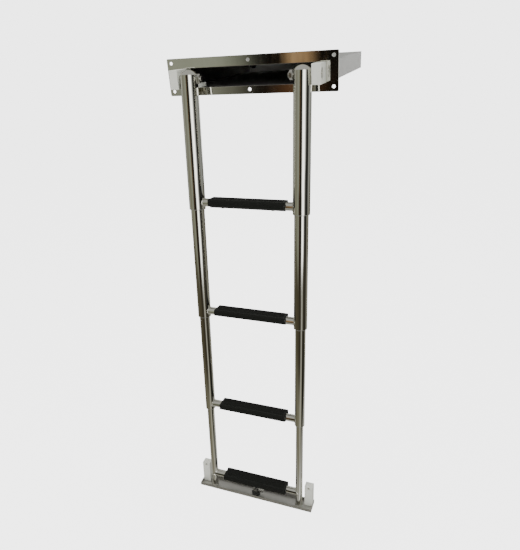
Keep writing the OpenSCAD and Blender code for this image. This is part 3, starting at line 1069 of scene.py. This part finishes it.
# What polished metal sees around it, in bands from eye level down: degrees round from the front, and a
# colour. The bands are not a plain studio: their stripes are set for the main camera's view of the metal.
EYE_LEVEL = (
    (-180, "#e4e4e1"), (-166, "#c8c9c3"), (-150, "#a9aba0"), (-96, "#b4b5aa"), (-64, "#8b8a7b"),
    (-40, "#a0a293"),
    (-24, "#a6aa99"), (-20.5, "#6a6c60"), (-19.5, "#141210"), (-16.6, "#191510"), (-16.1, "#c9a77d"),
    (-13.9, "#b08f68"), (-13.4, "#100e0c"), (2, "#2c2820"), (8, "#3a3429"), (13, "#a3a39e"), (20, "#f8f8f6"),
    (42, "#ffffff"), (56, "#c2c3bf"), (69, "#33332f"), (94, "#2d2d2a"), (101, "#b5b7b4"), (140, "#a6a8a4"),
    (147, "#5a5b58"), (153, "#6a6b68"), (159, "#e6e6e3"),
)
HORIZON = (
    (-180, "#e0e0dd"), (-166, "#c0c1ba"), (-150, "#9fa195"), (-96, "#acada2"), (-64, "#85836f"),
    (-40, "#9b9d8c"),
    (-26, "#96988a"), (-22, "#67665a"), (-19.5, "#17130f"), (-17.5, "#2b2018"), (-16, "#6b4b33"),
    (-13, "#4c3526"), (-12, "#14110d"), (2, "#29251c"), (8, "#39332a"), (14, "#94938d"), (22, "#f4f4f2"),
    (40, "#ffffff"), (52, "#b4b5b0"), (64, "#32322e"), (94, "#2b2b27"), (102, "#a5a7a3"), (140, "#9b9d98"),
    (147, "#4a4b48"), (153, "#5c5d59"), (160, "#e2e2df"),
)
LOW = (
    (-180, "#8b8a82"), (-150, "#5c584a"), (-90, "#6f6b59"), (-60, "#57513f"), (-25, "#524c3b"),
    (6, "#39342a"), (20, "#6b675b"), (30, "#c9c8bf"), (40, "#b9b7ac"), (50, "#4a463b"),
    (98, "#35322a"), (108, "#97958a"), (144, "#807e73"), (152, "#34312a"), (168, "#93918a"),
)
GROUND = (
    (-180, "#9c9a90"), (-110, "#5b5746"), (-60, "#77735f"), (0, "#8f8c7a"), (24, "#c0beb0"),
    (44, "#a5a394"), (54, "#2c2a22"), (100, "#26241e"), (112, "#8d8b80"), (150, "#a3a197"),
)
UNDERFOOT = (
    (-180, "#bdbcb7"), (-60, "#b0afa8"), (10, "#bbbab4"), (34, "#dededa"), (60, "#c2c1bb"),
    (80, "#9c9b94"), (112, "#c0bfb9"),
)


def sky_band(tree, round_fraction, stops):
    """A ramp of colours round the horizon."""
    ramp = add_node(tree, "ShaderNodeValToRGB", {"Fac": round_fraction})
    elements = ramp.color_ramp.elements
    while len(elements) > 1:
        elements.remove(elements[-1])
    elements[0].position = 0.0
    elements[0].color = linear(stops[0][1])
    for degrees, code in stops[1:]:
        elements.new((degrees + 180) / 360).color = linear(code)
    return ramp.outputs[0]


def studio_world(settings):
    """Plain white to the eye and to plain surfaces, and bands of dark and light to polished metal."""
    world = bpy.data.worlds.new("Studio")
    world.use_nodes = True
    tree = world.node_tree
    tree.nodes.clear()
    look = add_node(tree, "ShaderNodeTexCoord").outputs["Generated"]
    parts = add_node(tree, "ShaderNodeSeparateXYZ", {"Vector": look}).outputs
    climb = add_node(tree, "ShaderNodeMath", {0: parts["Z"]}, operation="ARCSINE")
    height = add_node(tree, "ShaderNodeMath", {0: climb, 1: 180 / math.pi}, operation="MULTIPLY")
    front = add_node(tree, "ShaderNodeMath", {0: parts["Y"], 1: -1.0}, operation="MULTIPLY")
    around = add_node(tree, "ShaderNodeMath", {0: parts["X"], 1: front}, operation="ARCTAN2")
    share = {0: around, 1: 1 / (2 * math.pi), 2: 0.5}
    fraction = add_node(tree, "ShaderNodeMath", share, operation="MULTIPLY_ADD")

    # each layer takes over from the one below it between two heights, in degrees
    bands = ((-39, -34, GROUND), (-30, -23, LOW), (-17, -11, HORIZON), (-4, -3, EYE_LEVEL))
    layers = [(low, high, sky_band(tree, fraction, stops)) for low, high, stops in bands]
    layers.append((16, 36, linear(settings.ceiling)))
    colour = sky_band(tree, fraction, UNDERFOOT)
    for low, high, above in layers:
        range_of = {"Value": height, "From Min": low, "From Max": high}
        rise = add_node(tree, "ShaderNodeMapRange", range_of, interpolation_type="SMOOTHSTEP")
        mix = {"Factor": rise, 6: colour, 7: above}
        colour = add_node(tree, "ShaderNodeMix", mix, data_type="RGBA").outputs[2]
    # the palest parts are light boxes, several times brighter than the room
    pale = add_node(tree, "ShaderNodeRGBToBW", {"Color": colour}).outputs[0]
    shine = add_node(
        tree,
        "ShaderNodeMapRange",
        {"Value": pale, "From Min": 0.6, "From Max": 1.0, "To Min": 1.0, "To Max": settings.light_box},
    ).outputs["Result"]
    metal = add_node(tree, "ShaderNodeBackground", {"Color": colour, "Strength": shine})
    ray = add_node(tree, "ShaderNodeLightPath").outputs
    backdrop = list(settings.backdrop) + [1.0]
    plain = add_node(tree, "ShaderNodeBackground", {"Color": backdrop, "Strength": settings.ambient})
    bright = add_node(tree, "ShaderNodeBackground", {"Color": backdrop, "Strength": settings.glow})
    lit = add_node(
        tree,
        "ShaderNodeMixShader",
        {0: ray["Is Camera Ray"], 1: plain.outputs[0], 2: bright.outputs[0]},
    )
    both = add_node(
        tree, "ShaderNodeMixShader", {0: ray["Is Glossy Ray"], 1: lit.outputs[0], 2: metal.outputs[0]}
    )
    add_node(tree, "ShaderNodeOutputWorld", {"Surface": both.outputs[0]})
    bpy.context.scene.world = world


def floor_material(glow):
    # Matt white studio paint, lit from behind: even and soft, with the faintest roller texture.
    material, tree, place = start_material("Matt white floor paint")
    tint = {"Factor": noise_mm(tree, place, 180), 6: linear("#f7f7f6"), 7: linear("#f3f3f2")}
    roller = {"Height": noise_mm(tree, place, 3), "Strength": 0.3, "Distance": 0.05 * MM}
    inputs = {
        "Base Color": add_node(tree, "ShaderNodeMix", tint, data_type="RGBA").outputs[2],
        "Normal": add_node(tree, "ShaderNodeBump", roller),
        "Emission Color": (1.0, 1.0, 1.0, 1.0),
        "Emission Strength": glow,
        "Roughness": 0.9,
        "Specular IOR Level": 0.1,
    }
    end_material(tree, inputs)
    return material


def add_light(name, width, place, aim, power, colour):
    """A soft light, unseen by polished metal, that faces its aim."""
    data = bpy.data.lights.new(name, "AREA")
    data.shape = "DISK"
    data.size = width
    data.energy = power
    data.color = colour
    lamp = bpy.data.objects.new(name, data)
    lamp.location = place
    lamp.rotation_euler = (Vector(aim) - Vector(place)).to_track_quat("-Z", "Y").to_euler()
    lamp.visible_glossy = False
    bpy.context.scene.collection.objects.link(lamp)


class LADDER_OT_studio(bpy.types.Operator):
    """Camera, floor, soft lights and surroundings"""

    bl_idname = "ladder.studio"
    bl_label = "Studio"

    def execute(self, context):
        settings = context.scene.ladder_studio
        yaw, pitch, roll = settings.yaw, settings.pitch, settings.roll
        forward = Vector(
            (-math.sin(yaw) * math.cos(pitch), math.cos(yaw) * math.cos(pitch), math.sin(pitch))
        )
        right = Vector((math.cos(yaw), math.sin(yaw), 0))
        above = right.cross(forward)
        leaned_right = math.cos(roll) * right + math.sin(roll) * above
        leaned_up = math.cos(roll) * above - math.sin(roll) * right
        data = bpy.data.cameras.new("Camera")
        data.sensor_fit = "HORIZONTAL"
        data.sensor_width = 36
        data.lens = settings.lens
        camera = bpy.data.objects.new("Camera", data)
        turn = Matrix((leaned_right, leaned_up, -forward)).transposed().to_4x4()
        camera.matrix_world = Matrix.Translation(settings.place) @ turn
        context.scene.collection.objects.link(camera)
        context.scene.camera = camera

        level = CAD_BOX[0][2] - settings.floor_drop
        reach = 9.0
        mesh = bpy.data.meshes.new("studio_floor")
        corners = [(x * reach, y * reach, level) for x, y in ((-1, -1), (1, -1), (1, 1), (-1, 1))]
        mesh.from_pydata(corners, [], [(0, 1, 2, 3)])
        mesh.materials.append(floor_material(settings.glow - 0.93 * settings.ambient))
        floor = bpy.data.objects.new("studio_floor", mesh)
        floor.visible_glossy = False
        floor.visible_diffuse = False
        context.scene.collection.objects.link(floor)

        middle = (0, 0, -0.5)
        add_light("Key", 1.6, (-1.3, -2.2, 1.5), middle, 42, (1.0, 0.99, 0.97))
        add_light("Fill", 1.8, (2.2, -1.4, 0.6), middle, 14, (0.94, 0.97, 1.0))
        add_light("Top", 2.0, (0.2, 0.6, 2.4), middle, 30, (1.0, 1.0, 1.0))
        studio_world(settings)
        return {"FINISHED"}


# ---- the add-on ----


STEPS = (
    LADDER_OT_studio,
    LADDER_OT_cassette,
    LADDER_OT_spot_welds,
    LADDER_OT_buffers,
    LADDER_OT_slide_blocks,
    LADDER_OT_pivots,
    LADDER_OT_rails,
    LADDER_OT_guides_in_rails,
    LADDER_OT_rungs,
    LADDER_OT_weld_beads,
    LADDER_OT_foot_beads,
    LADDER_OT_treads,
    LADDER_OT_screws,
    LADDER_OT_lid,
    LADDER_OT_latch,
)
SETTINGS = {
    "ladder_finishes": FinishSettings,
    "ladder_tread": TreadSettings,
    "ladder_metal": MetalSettings,
    "ladder_studio": StudioSettings,
}


class LADDER_PT_sidebar(bpy.types.Panel):
    """Steps that build the finished ladder, and their settings"""

    bl_idname = "LADDER_PT_sidebar"
    bl_label = "Boarding ladder"
    bl_space_type = "VIEW_3D"
    bl_region_type = "UI"
    bl_category = "Ladder"

    def draw(self, context):
        for name, group in SETTINGS.items():
            settings = getattr(context.scene, name)
            box = self.layout.box()
            for key in group.__annotations__:
                box.prop(settings, key)
        for step in STEPS:
            self.layout.operator(step.bl_idname)


def register():
    for kind in (*SETTINGS.values(), *STEPS, LADDER_PT_sidebar):
        bpy.utils.register_class(kind)
    for name, group in SETTINGS.items():
        setattr(bpy.types.Scene, name, PointerProperty(type=group))


def unregister():
    for name in SETTINGS:
        delattr(bpy.types.Scene, name)
    for kind in reversed((*SETTINGS.values(), *STEPS, LADDER_PT_sidebar)):
        bpy.utils.unregister_class(kind)


def main():
    register()
    for step in STEPS:
        group, name = step.bl_idname.split(".")
        getattr(getattr(bpy.ops, group), name)()
    bpy.context.view_layer.update()


if __name__ == "__main__":
    main()
